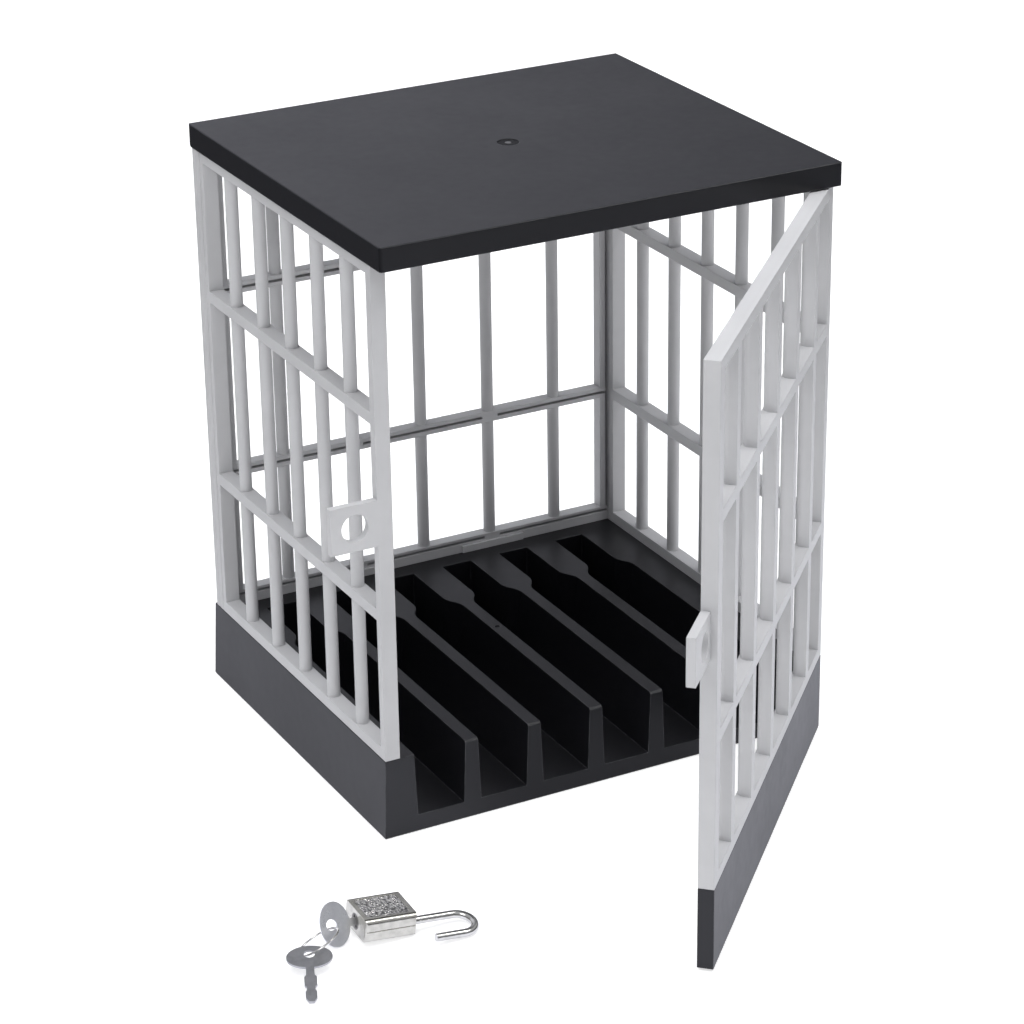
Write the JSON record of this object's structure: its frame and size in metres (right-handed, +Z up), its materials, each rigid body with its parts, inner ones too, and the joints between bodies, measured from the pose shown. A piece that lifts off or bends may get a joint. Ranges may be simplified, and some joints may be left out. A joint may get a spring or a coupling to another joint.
{
  "type": "phone lock cage",
  "caption": "Lockable barred cage for phones: a slotted comb base, grille walls, a hinged hasp door, a flat lid, and an open padlock with keys on a ring.",
  "frame": {"origin": "middle of the base's underside, on the table", "axes": "+X to the door's hinge side, +Y to the back, +Z up"},
  "size_m": [0.2638, 0.3139, 0.2382],
  "materials": {
    "charcoal_plastic": "fine moulded texture, satin",
    "grey_plastic": "fine moulded texture, satin",
    "pin_steel": "drawn wire",
    "lock_nickel": "nickel plated, hammered top",
    "key_steel": "stamped and plated"
  },
  "bodies": {
    "cage": {"base": "charcoal_plastic", "left_panel": "grey_plastic", "right_panel": "grey_plastic", "back_panel": "grey_plastic", "lid": "charcoal_plastic"},
    "door": {"door_grille": "grey_plastic", "door_plinth": "charcoal_plastic", "upper_hinge_pin": "pin_steel", "lower_hinge_pin": "pin_steel"},
    "lock_body": {"lock_shell_upper": "lock_nickel", "lock_shell_lower": "lock_nickel"},
    "clip": {"leg_clip": "pin_steel"},
    "shackle": {"shackle": "lock_nickel"},
    "plug": {"plug": "key_steel"},
    "latch": {"latch": "pin_steel"},
    "working_key": {"working_key": "key_steel"},
    "key_ring": {"key_ring": "key_steel"},
    "spare_key": {"spare_key": "key_steel"}
  },
  "joints": [
    {"name": "door_hinge", "type": "hinge", "parent": "cage", "child": "door", "pos_m": [0.0912, -0.08355, 0.0327], "axis": [0, 0, 1], "range_deg": [-45.8, 44.2]},
    {"name": "lock_lift", "type": "slide", "parent": "cage", "child": "lock_body", "axis": [0, 0, 1], "range_m": [0, 0.1]},
    {"name": "shackle_pull", "type": "slide", "parent": "lock_body", "child": "clip", "axis": [0.9941, -0.0434, -0.099], "range_m": [-0.0071, 0]},
    {"name": "shackle_swivel", "type": "hinge", "parent": "clip", "child": "shackle", "pos_m": [-0.12522, -0.14336, 0.00547], "axis": [0.9941, -0.0434, -0.099], "range_deg": [-185.7, 0]},
    {"name": "plug_turn", "type": "hinge", "parent": "lock_body", "child": "plug", "pos_m": [-0.12495, -0.13737, 0.00547], "axis": [0.9941, -0.0434, -0.099], "range_deg": [-58, 0]},
    {"name": "latch_slide", "type": "slide", "parent": "lock_body", "child": "latch", "axis": [0.0436, 0.999, 0], "range_m": [0, 0.00196]},
    {"name": "key_pull", "type": "slide", "parent": "plug", "child": "working_key", "axis": [-0.9941, 0.0434, 0.099], "range_m": [0, 0.02]},
    {"name": "ring_swing", "type": "hinge", "parent": "working_key", "child": "key_ring", "pos_m": [-0.14427, -0.13716, 0.00637], "axis": [-0.3299, 0.8037, -0.4952], "range_deg": [0, 15]},
    {"name": "spare_swing", "type": "hinge", "parent": "key_ring", "child": "spare_key", "pos_m": [-0.15753, -0.14684, 0.00471], "axis": [0.5813, -0.6202, 0.5267], "range_deg": [-20, 0]}
  ],
  "couplings": [
    {"joint": "latch_slide", "follows": "plug_turn", "m_per_rad": -0.0019268}
  ]
}
